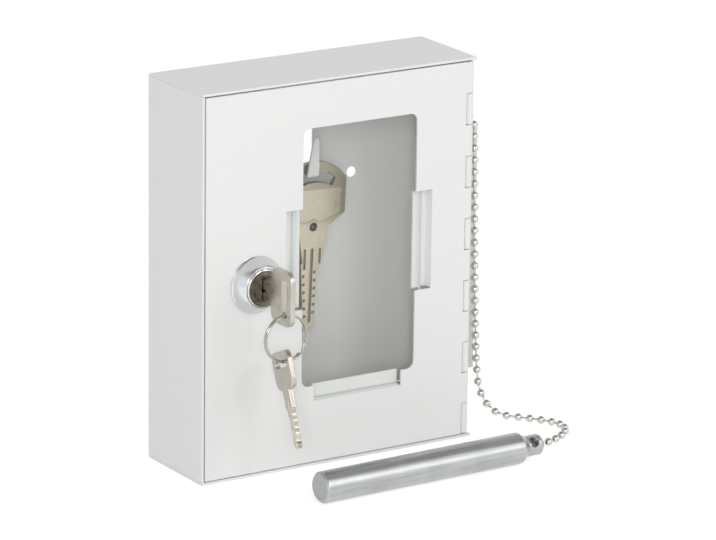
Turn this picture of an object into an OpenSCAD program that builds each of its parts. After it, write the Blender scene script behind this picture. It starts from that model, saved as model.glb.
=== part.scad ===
// Break glass key box: sheet steel case, hinged door with a glass pane held by joggled tabs, cam lock
// with two keys, an emergency key on a hook, and a hammer rod on a ball chain beside its clip.
// X runs right as seen from the front, Y runs from the front to the back, Z runs up.
// The origin is the middle of the underside of the case.

/* [Case] */
// Width of the case
case_w = 120; // [112:1:180]
// Height of the case
case_h = 150; // [146:1:220]
// Depth of the case
case_d = 40; // [38:1:60]
// Thickness of the sheet steel
sheet = 1; // [0.8:0.1:1.2]
// Outer radius of the bends in the back wrap
bend_r = 1.5; // [1.3:0.1:3]
// Reach of the flanges along the top and bottom of the side walls
flange_w = 10; // [6:1:14]
// How far the flanges stand back from the front
flange_setback = 6; // [5:0.5:10]
// Distance between the two wall screw holes
wall_hole_spacing = 57; // [40:1:70]
// Height of the wall screw holes
wall_hole_height = 100.5; // [60:0.5:130]
// Radius of the wall screw holes
wall_hole_r = 2.1; // [1.6:0.1:3]

/* [Door] */
// Gap round the door
door_gap = 0.5; // [0.3:0.1:1]
// Case left face to the left edge of the window
window_left = 43.3; // [42:0.1:50]
// Case right face to the right edge of the window
window_right = 26.7; // [26:0.1:36]
// Underside of the case to the lower edge of the window
window_bottom = 31.5; // [20:0.5:36]
// Top of the case to the upper edge of the window
window_top = 18.5; // [16:0.5:30]
// Corner radius of the window
window_corner_r = 3; // [1:0.5:6]
// Length of the two side tabs
side_tab_len = 38; // [20:1:60]
// Length of the bottom tab
bottom_tab_len = 38; // [20:1:42]
// Distance from the window edge to the root of a side tab
side_tab_root = 7.2; // [5.5:0.1:8]
// Distance from the window edge to the root of the bottom tab
bottom_tab_root = 6; // [5.5:0.1:8]
// Width of the sloped step of a tab
tab_step = 1; // [0.6:0.1:1.4]
// Clearance at the ends of a tab
tab_slit = 0.4; // [0.2:0.1:0.8]

/* [Pane] */
// Thickness of the glass
pane_thick = 2; // [1.5:0.1:3]
// Overlap of the glass behind the door beside the window
pane_side_lap = 3.4; // [2:0.1:4.2]
// Overlap of the glass above the window
pane_top_lap = 3.4; // [2:0.1:6]
// Clearance on each face of the glass
pane_gap = 0.05; // [0.02:0.01:0.1]

/* [Hinge] */
// Number of hinge knuckles
knuckles = 12; // [8:2:16]
// Radius of the hinge knuckles
knuckle_r = 1.65; // [1.5:0.05:1.8]
// Radius of the hinge pin
hinge_pin_r = 0.8; // [0.6:0.05:0.9]
// Thickness of the hinge strip
strip_thick = 0.8; // [0.6:0.05:1]
// Width of the hinge strip
strip_w = 13; // [8:0.5:13.5]
// End gap between two knuckles
knuckle_gap = 0.25; // [0.15:0.05:0.5]
// Gap between a knuckle and the sheet beside it
knuckle_relief = 0.35; // [0.3:0.05:0.6]
// Radial clearance of the door knuckles on the pin
hinge_clear = 0.05; // [0.03:0.01:0.09]
// Radial clearance of the strip knuckles on the pin
pin_seat = 0.02; // [0.01:0.01:0.05]

/* [Lock] */
// Case left face to the lock axis
lock_inset = 23; // [21:0.5:25]
// Height of the lock axis
lock_height = 75; // [65:0.5:100]
// Radius of the conical rosette at the door
rosette_r = 11; // [10:0.1:13]
// Radius of the rosette at its front
rosette_front_r = 8.3; // [8:0.1:9.5]
// Height of the rosette on the door
rosette_h = 6.5; // [4:0.1:7]
// Radius of the lock head
lock_head_r = 7.5; // [7.2:0.1:8]
// Thickness of the lock head
lock_head_h = 1.5; // [1:0.1:2]
// How far the lock head stands in front of the rosette
lock_head_proud = 0.3; // [0:0.1:1]
// Radius of the threaded lock barrel
barrel_r = 6.2; // [5.9:0.1:6.5]
// Width across the flats of the barrel
barrel_flats = 11.2; // [11:0.1:12.4]
// Length of the barrel behind the door front
barrel_len = 12.2; // [10:0.1:13]
// Width across the flats of the lock nut
nut_flats = 16; // [14:0.5:18]
// Thickness of the lock nut
nut_thick = 3.5; // [2:0.1:4]
// Radius of the lock plug
plug_r = 4.75; // [4.6:0.05:5]
// Radial clearance of the plug in the barrel
plug_clear = 0.05; // [0.03:0.01:0.09]
// Thickness of the cam
cam_thick = 2; // [1.5:0.1:2.5]
// Width of the cam
cam_w = 10; // [9:0.5:12]
// Reach of the cam from the lock axis
cam_reach = 19; // [16:0.5:20]
// Square on the plug that drives the cam
cam_square = 6; // [5:0.1:6.4]
// Inward reach of the keeper on the left wall
keeper_w = 12; // [10:0.5:13]
// Height of the keeper
keeper_h = 30; // [20:1:40]
// Length of the keeper leg on the wall
keeper_leg = 10; // [8:0.5:14]

/* [Lock keys] */
// Thickness of the flat keys
key_thick = 2; // [1.6:0.1:2.2]
// Height of the key bow when the key is in the lock
bow_h = 21; // [20:0.5:24]
// Length of the key bow
bow_len = 14.4; // [13:0.1:18]
// Corner radius of the key bow
bow_r = 4; // [3:0.5:6]
// Length of the slot in the bow
bow_slot_len = 14.6; // [12:0.1:15]
// Width of the slot in the bow
bow_slot_w = 2.8; // [2.7:0.1:4]
// Web between the slot and the outer end of the bow
bow_web = 3.4; // [3:0.1:5]
// Length of the key neck
key_neck_len = 7.1; // [5:0.1:8]
// Width of the key neck
key_neck_w = 8; // [7:0.1:8.2]
// Length of the key blade in front of the neck
blade_len = 15.1; // [13:0.1:15.5]
// Width of the key blade
blade_w = 5.5; // [5:0.1:6.5]
// Gap between the lock face and the bow of the inserted key
bow_stand_off = 5.3; // [4.5:0.1:6]
// Clearance of the key in the keyway
keyway_clear = 0.2; // [0.1:0.05:0.3]

/* [Key ring] */
// Outer diameter of the split ring
ring_d = 18.5; // [16:0.5:24]
// Diameter of the ring wire
ring_wire = 1; // [0.8:0.1:1.1]
// Place of the wire ends round the ring
ring_cut = 35; // [0:5:90]
// Lean of the spare key towards the front
spare_lean = 22; // [10:1:26]
// Turn of the spare key about its own length
spare_twist = 13.5; // [0:0.5:16]
// Distance of the ring from the middle of the slot of the spare key
spare_offset = 4.4; // [2:0.1:5]

/* [Emergency key] */
// Offset of the hook from the middle of the case
hook_x = 5.3; // [-10:0.1:14]
// Height of the seat of the hook
hook_height = 104.3; // [90:0.1:112]
// Width of the hook
hook_w = 5.2; // [4.6:0.1:6.4]
// Distance from the back wall to the face of the hook lip
hook_reach = 10; // [6.5:0.1:12]
// Height of the hook lip above the seat
hook_lip = 14.2; // [8:0.1:18]
// Width of the slot that the hook is cut from
hook_slot_w = 11.2; // [9:0.1:14]
// Offset of the emergency key from the hook
ekey_shift = 2.2; // [-3:0.1:3]
// Lean of the emergency key
ekey_lean = 2.3; // [0:0.1:4]
// Thickness of the emergency key
ekey_thick = 2.4; // [1.8:0.1:3]
// Half width of its bow
ekey_bow_w = 13.8; // [13:0.1:16]
// Radius of the upper edge of its bow
ekey_top_r = 17; // [15:0.5:20]
// Height of the bow
ekey_bow_h = 25.5; // [24:0.5:30]
// Distance from the top of the bow to its lower corners
ekey_shoulder = 20.6; // [18:0.1:22]
// Radius of the upper corners of the bow
ekey_corner_r = 7; // [5:0.5:9]
// Width of the neck below the bow
ekey_neck_w = 13; // [12:0.1:16]
// How much narrower the lower end of the neck is on each side
ekey_neck_taper = 2.4; // [1:0.1:2.8]
// Length of the neck
ekey_neck_len = 15; // [12:0.1:20]
// Length of the blade
ekey_blade_len = 26.5; // [20:0.1:30]
// Width of the blade at the neck
ekey_blade_w = 7.4; // [7:0.1:9]
// Offset of the blade from the axis of the bow
ekey_blade_off = -1.2; // [-1.4:0.1:0]
// Band of metal above the slot in the bow
ekey_band = 4.4; // [3:0.1:5]
// Gap between the slot edge and the hook
ekey_seat_gap = 0.3; // [0.25:0.05:0.5]
// Radius of the pin in the neck
ekey_pin_r = 1.7; // [1.2:0.1:2.2]
// Distance from the pin to the upper end of the grooves
groove_drop = 9; // [7:0.5:12]
// Depth of the grooves
groove_deep = 0.45; // [0.2:0.05:0.6]

/* [Hammer] */
// Radius of the hammer rod
hammer_r = 6; // [5:0.1:7]
// Length of the rod body
hammer_len = 89.2; // [60:0.1:95]
// Length of the cone between the body and the neck
hammer_cone = 3; // [2:0.5:4]
// Length of the neck
neck_len = 7.7; // [7:0.1:12]
// Radius of the neck
neck_r = 4; // [3.4:0.1:4.4]
// Chamfer at the blunt end of the rod
hammer_chamfer = 0.9; // [0.5:0.1:1.2]
// Chamfer at the end of the neck
neck_chamfer = 1.5; // [0.5:0.1:2]
// Turn of the lying rod from the line of the case
hammer_turn = 1.2; // [0:0.1:3]
// Gap between the neck and the first ball of the chain
neck_gap = 2.2; // [1.8:0.1:3]
// Lean of the cross hole in the neck towards the front
cross_lean = 52; // [0:1:70]
// Length of the holder
holder_len = 97.2; // [60:0.1:105]
// Underside of the case to the lower end of the holder
holder_bottom = 22.6; // [10:0.1:40]
// Thickness of the holder sheet
holder_thick = 1; // [0.8:0.1:1.5]
// Depth of the holder channel
holder_reach = 8.6; // [7:0.1:10]
// How far the beads of the holder reach in front of the rod
holder_bead = 0.7; // [0.3:0.1:1]
// Clearance between the rod and the sides of the holder
holder_clear = 0.15; // [0:0.05:0.3]
// Radius of the holder rivets
rivet_r = 1.5; // [1.2:0.1:2]

/* [Chain] */
// Diameter of the chain balls
ball_d = 3.2; // [2.4:0.1:3.4]
// Distance between two balls
ball_pitch = 4.68; // [4.2:0.02:4.8]
// Radius of the wire links
link_r = 0.45; // [0.3:0.05:0.6]
// Height of the chain anchor
anchor_height = 124; // [120:0.5:130]
// Front of the case to the chain anchor
anchor_setback = 10.5; // [8:0.5:11]
// Length of the anchor in front of the wall
anchor_len = 2; // [1.6:0.1:3]

/* [Hidden] */
$fn = 64;
powder = [0.88, 0.88, 0.87];
steel = [0.72, 0.73, 0.74];
nickel = [0.72, 0.68, 0.60];
chrome = [0.80, 0.81, 0.83];
glass = [0.75, 0.88, 0.86, 0.35];
dark = [0.25, 0.22, 0.20];
cut = 0.5;
half_w = case_w / 2;
front = -case_d / 2;
back = case_d / 2;
skin_back = front + sheet;

// Route of the chain, from the anchor to the last ball before the hammer
chain_route = [
    [62, -9.5, 124], [64.5, -9.5, 124], [65.8, -9.5, 121.4], [66.2, -9.5, 112], [66.8, -9.5, 90],
    [67.6, -9.5, 60], [68.6, -9.5, 34], [69.2, -9.5, 25], [69.4, -9.8, 20.4], [69.7, -10.7, 15.9],
    [70.4, -12.6, 11.8], [71.5, -15.6, 8.6], [73.6, -19, 6.5], [76.6, -22.3, 5.8], [79.7, -25.8, 5.8],
    [82.4, -29.4, 5.8], [84.9, -33.3, 5.9], [86.7, -37.6, 6], [87, -42.2, 6.2], [85.7, -46.6, 6.3],
    [82.8, -50.4, 6.3], [79, -53, 6.1], [75.3, -54.8, 6], [71.4, -56.2, 6]];
chain_end = chain_route[len(chain_route) - 1];
// Steps of the smooth curve between two route points
route_steps = 5;

// Hinge
hinge_x = half_w - sheet - knuckle_r;
hinge_y = front + knuckle_r;
knuckle_z0 = sheet + door_gap;
knuckle_pitch = (case_h - 2 * knuckle_z0) / knuckles;
knuckle_h = knuckle_pitch - knuckle_gap;
finger = knuckle_r + knuckle_relief;
strip_z0 = 2 * sheet + door_gap;

// Door
door_left = -half_w + sheet + door_gap;
door_z0 = sheet + door_gap;
door_h = case_h - 2 * door_z0;

// Window and pane
window_x0 = -half_w + window_left;
window_x1 = half_w - window_right;
window_z0 = window_bottom;
window_z1 = case_h - window_top;
window_xc = (window_x0 + window_x1) / 2;
window_zc = (window_z0 + window_z1) / 2;
tab_depth = sheet + pane_thick + 2 * pane_gap;
pane_z0 = window_z0 - bottom_tab_root + tab_step + 0.2;
pane_z1 = window_z1 + pane_top_lap;

// Lock
lock_x = -half_w + lock_inset;
rosette_front = front - rosette_h;
face_y = rosette_front - lock_head_proud;
barrel_back = front + barrel_len;
head_gap = 0.05;
door_hole_gap = 0.1;
cam_gap = 0.5;
cam_y = barrel_back + cam_gap;
square_gap = 0.1;
washer_thick = 0.6;
screw_r = 1.9;
keeper_y = cam_y - 0.4 - sheet;

// Lock keys: the bow ends at bow_y and the blade reaches on to the back
bow_y = face_y - bow_stand_off;
slot_y = bow_y - bow_len + bow_web + bow_slot_w / 2;
key_tip_y = bow_y + key_neck_len + blade_len;
keyway_end = key_tip_y + 0.4;
ring_y = slot_y;
wire_r = ring_wire / 2;
coil_off = 0.42;
ring_r = ring_d / 2 - wire_r;
ring_top = lock_height - bow_slot_len / 2 + bow_slot_w / 2 - 0.55;
ring_bottom = ring_top - 2 * ring_r;
spare_hang = bow_web + wire_r + 0.3;

// Emergency key, drawn with its own axis at zero and hung on the hook
hook_back = back - sheet;
hook_lip_y = hook_back - hook_reach;
hook_slot_h = hook_reach + hook_lip - sheet;
ekey_y = hook_lip_y + sheet + 1;
ekey_slot_z = ekey_seat_gap;
ekey_top = ekey_slot_z + ekey_band;
ekey_side_z = ekey_top - ekey_shoulder;
ekey_neck_z = ekey_top - ekey_bow_h;
ekey_blade_z = ekey_neck_z - ekey_neck_len;
ekey_tip_z = ekey_blade_z - ekey_blade_len;

// Hammer: the cross hole holds the last ball and a narrow bore holds its wire
ball_r = ball_d / 2;
neck_end = chain_end.x - ball_r - neck_gap;
cage_x = neck_end - 5.1;
body_end = neck_end - neck_len - hammer_cone;
cage_r = ball_r + 0.4;
throat_r = ball_r - 0.4;

// Holder
holder_half = hammer_r + holder_clear;
holder_seat = half_w + holder_thick;
holder_inset = 12;
rivet_clear = 0.02;
anchor_y = front + anchor_setback;
anchor_r = 1.5;
anchor_grip = sheet + strip_thick;

// Rounded rectangle centred on the origin
module rounded_rect(w, h, r) {
    square([w - 2 * r, h], center = true);
    square([w, h - 2 * r], center = true);
    for (sx = [-1, 1], sy = [-1, 1])
        translate([sx * (w / 2 - r), sy * (h / 2 - r)]) circle(r = r);
}

// Slot with round ends along the second axis
module slot_2d(len, w) {
    square([w, len - w], center = true);
    for (s = [-1, 1]) translate([0, s * (len - w) / 2]) circle(d = w);
}

// Turn a solid of revolution so that its axis runs along Y and its height goes to the back
module along_y() { rotate([-90, 0, 0]) children(); }

// Extrude an outline drawn in Y and Z over a width along X
module across_x(w) { rotate([90, 0, 90]) linear_extrude(height = w) children(); }

// Extrude an outline drawn in X and Z over a depth along Y, towards the front
module to_front(d) { rotate([90, 0, 0]) linear_extrude(height = d) children(); }

// Sheet metal strip of thickness t along a bent path, on the left of the path
function unit(v) = v / norm(v);
function left_of(v) = [-v.y, v.x];
function mitre(p, i, t) =
    let (a = left_of(unit(i > 0 ? p[i] - p[i - 1] : p[1] - p[0])),
        b = i < len(p) - 1 ? left_of(unit(p[i + 1] - p[i])) : a)
    p[i] + t * (a + b) / (1 + a * b);
module bent_strip(path, t) {
    polygon(concat(path, [for (i = [len(path) - 1 : -1 : 0]) mitre(path, i, t)]));
}

module rod_between(a, b, r) {
    d = b - a;
    translate(a) rotate([0, acos(d.z / norm(d)), atan2(d.y, d.x)]) cylinder(h = norm(d), r = r);
}

// Turn a ball so that its poles lie beside the links that run along a direction
module turn_to(d) {
    rotate([0, acos(d.z / norm(d)), atan2(d.y, d.x)]) rotate([90, 0, 0]) children();
}

// Link between two balls, let into each of them
module ball_link(a, b) {
    sink = unit(b - a) * (ball_r - 0.5);
    rod_between(a + sink, b - sink, link_r);
}

// Smooth curve through the route points
function curve_point(a, b, c, d, t) =
    0.5 * (2 * b + (c - a) * t + (2 * a - 5 * b + 4 * c - d) * t * t
        + (3 * b - a - 3 * c + d) * t * t * t);
function smooth(p) = concat(
    [for (i = [0 : len(p) - 2], k = [0 : route_steps - 1])
        curve_point(p[max(i - 1, 0)], p[i], p[i + 1], p[min(i + 2, len(p) - 1)], k / route_steps)],
    [p[len(p) - 1]]);
function distances(p) = [for (i = 0, s = 0; i < len(p);
    s = s + (i < len(p) - 1 ? norm(p[i + 1] - p[i]) : 0), i = i + 1) s];
function at_distance(p, run, s) =
    let (i = max([for (k = [0 : len(run) - 2]) if (run[k] <= s) k]))
    p[i] + (p[i + 1] - p[i]) * (s - run[i]) / (run[i + 1] - run[i]);

// Back, top and bottom folded from one sheet
module wrap_outline() {
    difference() {
        translate([0, case_h / 2]) rounded_rect(case_d, case_h, bend_r);
        translate([-sheet, case_h / 2]) rounded_rect(case_d, case_h - 2 * sheet, bend_r - sheet);
        translate([front - cut, sheet]) square([sheet + cut + bend_r, case_h - 2 * sheet]);
    }
    for (z = [0, case_h - sheet]) translate([front, z]) square([2 * bend_r, sheet]);
}

// Lip of the hook: straight on its right, tapered on its left, with a round tip
module hook_lip_outline() {
    tip_r = hook_w / 4;
    side = hook_w / 2;
    polygon([[-side, 0], [side, 0], [side, hook_lip - tip_r], [side - 2 * tip_r, hook_lip - tip_r]]);
    translate([side - tip_r, hook_lip - tip_r]) circle(r = tip_r);
}

// Tongue of the back wall: an arm to the front and a lip that rises from a rounded bend
module hook_tongue() {
    arm_r = 1.6;
    translate([hook_x - hook_w / 2, 0, hook_height - sheet]) across_x(hook_w) {
        translate([hook_lip_y + arm_r, 0])
            square([hook_reach - arm_r + sheet / 2, sheet]);
        translate([hook_lip_y + arm_r, arm_r]) difference() {
            circle(r = arm_r);
            circle(r = arm_r - sheet);
            translate([0, -2 * arm_r]) square(4 * arm_r);
            translate([-2 * arm_r, 0]) square(4 * arm_r);
        }
    }
    translate([hook_x, hook_lip_y + sheet, hook_height - sheet + arm_r])
        to_front(sheet) hook_lip_outline();
}

module case_shell() color(powder) {
    difference() {
        translate([-half_w, 0, 0]) across_x(case_w) wrap_outline();
        for (s = [-1, 1])
            translate([s * wall_hole_spacing / 2, hook_back - cut, wall_hole_height])
                along_y() cylinder(h = sheet + 2 * cut, r = wall_hole_r);
        translate([hook_x, back + cut, hook_height + hook_slot_h / 2]) to_front(sheet + 2 * cut)
            rounded_rect(hook_slot_w, hook_slot_h, bend_r);
    }
    hook_tongue();
}

// Side wall with a flange along its top and bottom, for the left side
module side_wall(wall_front) {
    translate([-half_w, wall_front, sheet])
        cube([sheet, hook_back - wall_front, case_h - 2 * sheet]);
    for (z = [sheet, case_h - 2 * sheet])
        translate([-half_w, front + flange_setback, z])
            cube([flange_w + sheet, hook_back - front - flange_setback, sheet]);
}

module left_wall() color(powder) side_wall(front);

module right_wall() color(powder) difference() {
    mirror([1, 0, 0]) side_wall(hinge_y + finger);
    for (z = rivet_heights()) translate([half_w - sheet - cut, 0, z])
        rotate([0, 90, 0]) cylinder(h = sheet + 2 * cut, r = rivet_r + rivet_clear);
    anchor_hole();
}

// Hole for the chain anchor through the wall and the hinge strip
module anchor_hole() {
    translate([half_w - anchor_grip - cut, anchor_y, anchor_height])
        rotate([0, 90, 0]) cylinder(h = anchor_grip + 2 * cut, r = anchor_r + rivet_clear);
}

// Angle on the left wall that the cam turns behind
module lock_keeper() color(powder) translate([-half_w + sheet, keeper_y, lock_height - keeper_h / 2]) {
    cube([keeper_w, sheet, keeper_h]);
    cube([sheet, keeper_leg, keeper_h]);
}

function knuckle_bottom(i) = knuckle_z0 + i * knuckle_pitch + knuckle_gap / 2;

// Knuckles on every second place from the first one given, with their fingers, bored for the pin
module knuckle_row(first, clear) {
    for (i = [first : 2 : knuckles - 1]) translate([hinge_x, hinge_y, knuckle_bottom(i)])
        difference() {
            union() {
                cylinder(h = knuckle_h, r = knuckle_r);
                children();
            }
            translate([0, 0, -cut]) cylinder(h = knuckle_h + 2 * cut, r = hinge_pin_r + clear);
        }
}

// The hinge strip lies on the inside of the right wall
module hinge_strip() color(powder) {
    knuckle_row(0, pin_seat)
        translate([knuckle_r - strip_thick, 0, 0]) cube([strip_thick, finger + 0.5, knuckle_h]);
    difference() {
        translate([half_w - sheet - strip_thick, hinge_y + finger, strip_z0])
            cube([strip_thick, strip_w - finger, case_h - 2 * strip_z0]);
        anchor_hole();
    }
}

module hinge_pin() color(steel)
    translate([hinge_x, hinge_y, knuckle_z0]) cylinder(h = knuckles * knuckle_pitch, r = hinge_pin_r);

// A tab steps back behind the pane; the first axis points to the window, the second to the front
module tab_outline(root) {
    bent_strip([[-2 * sheet, 0], [0, 0], [tab_step, -tab_depth], [root, -tab_depth]], -sheet);
}

module side_tab() {
    translate([0, 0, -side_tab_len / 2]) linear_extrude(height = side_tab_len)
        mirror([0, 1]) tab_outline(side_tab_root);
}

module bottom_tab() {
    translate([-bottom_tab_len / 2, 0, 0]) rotate([90, 0, 90]) linear_extrude(height = bottom_tab_len)
        rotate(90) tab_outline(bottom_tab_root);
}

module barrel_outline(extra) {
    intersection() {
        circle(r = barrel_r + extra);
        square([barrel_flats + 2 * extra, 3 * barrel_r], center = true);
    }
}

// Door sheet with its window, tabs and rolled knuckles
module door_panel() color(powder) {
    difference() {
        translate([door_left, front, door_z0]) cube([hinge_x - finger - door_left, sheet, door_h]);
        translate([window_xc, skin_back + cut, window_zc]) to_front(sheet + 2 * cut)
            rounded_rect(window_x1 - window_x0, window_z1 - window_z0, window_corner_r);
        translate([window_xc, front + sheet / 2, window_zc]) cube([window_x1 - window_x0
            + 2 * side_tab_root, sheet + 2 * cut, side_tab_len + 2 * tab_slit], center = true);
        translate([window_xc, front + sheet / 2, window_z0]) cube([bottom_tab_len + 2 * tab_slit,
            sheet + 2 * cut, 2 * bottom_tab_root], center = true);
        translate([lock_x, skin_back + cut, lock_height])
            to_front(sheet + 2 * cut) barrel_outline(door_hole_gap);
    }
    knuckle_row(1, hinge_clear)
        translate([-finger - 0.5, -knuckle_r, 0]) cube([finger + 0.5, sheet, knuckle_h]);
    translate([window_x0 - side_tab_root, front, window_zc]) side_tab();
    translate([window_x1 + side_tab_root, front, window_zc]) mirror([1, 0, 0]) side_tab();
    translate([window_xc, front, window_z0 - bottom_tab_root]) bottom_tab();
}

module glass_pane() color(glass)
    translate([window_x0 - pane_side_lap, skin_back + pane_gap, pane_z0])
        cube([window_x1 - window_x0 + 2 * pane_side_lap, pane_thick, pane_z1 - pane_z0]);

module at_lock(y) { translate([lock_x, y, lock_height]) along_y() children(); }

// Conical chrome trim that seats the head of the lock
module lock_rosette() color(chrome) at_lock(rosette_front) {
    seat_r = lock_head_r + head_gap;
    seat_h = lock_head_h - lock_head_proud;
    bore_r = barrel_r + 2 * head_gap;
    rim = 0.3;
    rotate_extrude() polygon([[seat_r, 0], [rosette_front_r - rim, 0], [rosette_front_r, rim],
        [rosette_r - rim / 2, rosette_h - 3 * rim], [rosette_r, rosette_h - 2 * rim],
        [rosette_r, rosette_h], [bore_r, rosette_h], [bore_r, seat_h], [seat_r, seat_h]]);
}

module lock_housing() color(chrome) difference() {
    union() {
        at_lock(face_y) rotate_extrude() polygon([[0, 0], [lock_head_r - 0.4, 0], [lock_head_r, 0.4],
            [lock_head_r, lock_head_h], [0, lock_head_h]]);
        translate([lock_x, barrel_back, lock_height])
            to_front(barrel_back - face_y - lock_head_h) barrel_outline(0);
    }
    at_lock(face_y - cut) cylinder(h = barrel_back - face_y + 2 * cut, r = plug_r + plug_clear);
}

module lock_nut() color(steel) at_lock(skin_back) difference() {
    cylinder(h = nut_thick, r = nut_flats / 2 / cos(30), $fn = 6);
    translate([0, 0, -cut]) cylinder(h = nut_thick + 2 * cut, r = barrel_r + head_gap);
}

module lock_plug() color(steel) difference() {
    plug_front = face_y + 0.2;
    union() {
        at_lock(plug_front) cylinder(h = barrel_back - plug_front, r = plug_r);
        translate([lock_x, barrel_back, lock_height]) translate([-cam_square / 2, 0, -cam_square / 2])
            cube([cam_square, cam_gap + cam_thick - 0.1, cam_square]);
    }
    translate([lock_x, plug_front - cut, lock_height])
        translate([-key_thick / 2 - keyway_clear, 0, -key_neck_w / 2 - keyway_clear])
            cube([key_thick + 2 * keyway_clear, keyway_end - plug_front + cut,
                key_neck_w + 2 * keyway_clear]);
    at_lock(keyway_end + 0.8) cylinder(h = barrel_len, r = screw_r + 0.02);
}

// The cam hangs down while the lock is open
module lock_cam() color(steel) translate([lock_x, cam_y + cam_thick, lock_height]) to_front(cam_thick)
    difference() {
        union() {
            circle(d = cam_w + 3);
            translate([-cam_w / 2, -cam_reach + 2]) square([cam_w, cam_reach - 2]);
            translate([0, -cam_reach + 2]) rounded_rect(cam_w, 4, 1.8);
        }
        square(cam_square + 2 * square_gap, center = true);
    }

module cam_washer() color(steel) at_lock(cam_y + cam_thick) difference() {
    cylinder(h = washer_thick, r = cam_square / 2 * sqrt(2) + 1);
    translate([0, 0, -cut]) cylinder(h = washer_thick + 2 * cut, r = screw_r + 0.2);
}

module cam_screw() color(steel) {
    head_y = cam_y + cam_thick + washer_thick;
    head_r = 3.6;
    rim = 0.8;
    difference() {
        union() {
            at_lock(head_y) cylinder(h = rim, r = head_r);
            at_lock(head_y + rim) cylinder(h = rim, r1 = head_r, r2 = head_r - 1);
            at_lock(keyway_end + 1) cylinder(h = head_y - keyway_end, r = screw_r);
        }
        for (a = [0, 90]) translate([lock_x, head_y + 2 * rim, lock_height])
            rotate([0, a, 0]) cube([0.9, 2, 4.4], center = true);
    }
}

// Depths of the cuts on the two edges of the blade, from the neck to the tip
upper_cuts = [0.5, 1.1, 0.7, 1.3, 0.4];
lower_cuts = [0.9, 0.4, 1.2, 0.6, 1];

function cut_edge(cuts, side) =
    let (first = key_neck_len + 1, step = (blade_len - 3) / len(cuts))
    [for (i = [0 : len(cuts) - 1], s = [0.25, 0.75])
        [first + (i + s) * step, side * (blade_w / 2 - cuts[i])]];

module key_blade_outline() {
    half = blade_w / 2;
    tip = key_neck_len + blade_len;
    top = cut_edge(upper_cuts, 1);
    polygon(concat(
        [[key_neck_len - 1, -half], [key_neck_len + 0.6, -half]], cut_edge(lower_cuts, -1),
        [[tip - 1.4, -half + 0.2], [tip, -0.6], [tip, 0.8], [tip - 1.6, half - 0.2]],
        [for (i = [len(top) - 1 : -1 : 0]) top[i]],
        [[key_neck_len + 0.6, half], [key_neck_len - 1, half]]));
}

// Flat key with its blade pointing to the back
module flat_key() {
    difference() {
        translate([-key_thick / 2, 0, 0]) across_x(key_thick) difference() {
            union() {
                translate([bow_y - bow_len / 2, 0]) rounded_rect(bow_len, bow_h, bow_r);
                translate([bow_y - 1, -key_neck_w / 2]) square([key_neck_len + 1, key_neck_w]);
                translate([bow_y, 0]) key_blade_outline();
            }
            translate([slot_y, 0]) slot_2d(bow_slot_len, bow_slot_w);
        }
        for (s = [-1, 1]) translate([s * key_thick / 2, bow_y + key_neck_len / 2 + blade_len, s * 0.6])
            cube([0.9, 2 * blade_len, 1.1], center = true);
    }
}

module lock_key() color(nickel) translate([lock_x, 0, lock_height]) flat_key();

// Split ring: two turns side by side, each with a cut where the wire ends
module key_ring() color(chrome) translate([lock_x, ring_y, ring_top - ring_r]) difference() {
    along_y() rotate_extrude() for (s = [-1, 1]) translate([ring_r, s * coil_off]) circle(r = wire_r);
    for (s = [-1, 1]) rotate([0, ring_cut + 12 * s, 0]) translate([ring_r, s * 1.5 * coil_off, 0])
        cube([3 * wire_r, 2 * coil_off, 0.4], center = true);
}

// The spare key hangs on the bottom of the ring by the slot in its bow
module spare_key() color(nickel) translate([lock_x, ring_y, ring_bottom])
    rotate([-90 - spare_lean, 0, 0]) rotate([0, spare_twist, 0])
        translate([0, bow_len - bow_y - spare_hang, spare_offset]) flat_key();

// Bow of the emergency key with its neck, drawn in from the edge by an inset
module ekey_bow(inset) {
    w = ekey_bow_w - inset;
    r = ekey_top_r - inset;
    neck = ekey_neck_w / 2 - inset;
    low = ekey_neck_z + inset;
    intersection() {
        translate([0, ekey_top - ekey_top_r]) circle(r = r);
        union() {
            translate([0, ekey_side_z]) rounded_rect(2 * w, 2 * (ekey_top - ekey_side_z - inset), ekey_corner_r);
            polygon([[-w, ekey_side_z], [-neck, low], [neck, low], [w, ekey_side_z]]);
        }
        union() {
            translate([-w, ekey_side_z]) square([2 * w, 2 * ekey_bow_h]);
            polygon([[-w, ekey_side_z], [-neck, low], [neck, low], [w, ekey_side_z]]);
        }
    }
}

// Slot in the bow: straight seat, pointed ends and an arched lower edge
module ekey_slot() {
    seat = 5.8;
    reach = 9.2;
    foot = 7.6;
    arch_r = 17;
    difference() {
        translate([0, ekey_slot_z]) polygon([[seat, 0], [-seat, 0], [-reach, -2.6], [-foot, -5.6],
            [foot, -5.6], [reach, -2.6]]);
        translate([0, ekey_slot_z - 3.7 - arch_r]) circle(r = arch_r);
    }
}

module ekey_outline() {
    half = ekey_blade_w / 2;
    neck = ekey_neck_w / 2;
    tip_r = half - 1.2;
    ekey_bow(0);
    foot = neck - ekey_neck_taper;
    off = ekey_blade_off;
    polygon([[neck, ekey_neck_z + 1], [-neck, ekey_neck_z + 1], [-neck, ekey_neck_z - 1],
        [-foot, ekey_blade_z], [foot, ekey_blade_z], [neck, ekey_neck_z - 1]]);
    polygon([[off + half, ekey_blade_z + 1], [off - half, ekey_blade_z + 1],
        [off / 2 - tip_r, ekey_tip_z + tip_r], [off / 2 + tip_r, ekey_tip_z + tip_r]]);
    translate([off / 2, ekey_tip_z + tip_r]) circle(r = tip_r);
}

// Groove with round ends down the face of the blade
module ekey_groove(x, top, bottom, w) {
    translate([x, 0, 0]) {
        translate([-w / 2, -groove_deep, bottom]) cube([w, 2 * groove_deep, top - bottom]);
        for (z = [top, bottom]) translate([0, -groove_deep, z])
            along_y() cylinder(h = 2 * groove_deep, d = w);
    }
}

// Place a part of the emergency key on the hook
module on_hook() {
    translate([hook_x + ekey_shift, ekey_y, hook_height]) rotate([0, ekey_lean, 0]) children();
}

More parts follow.
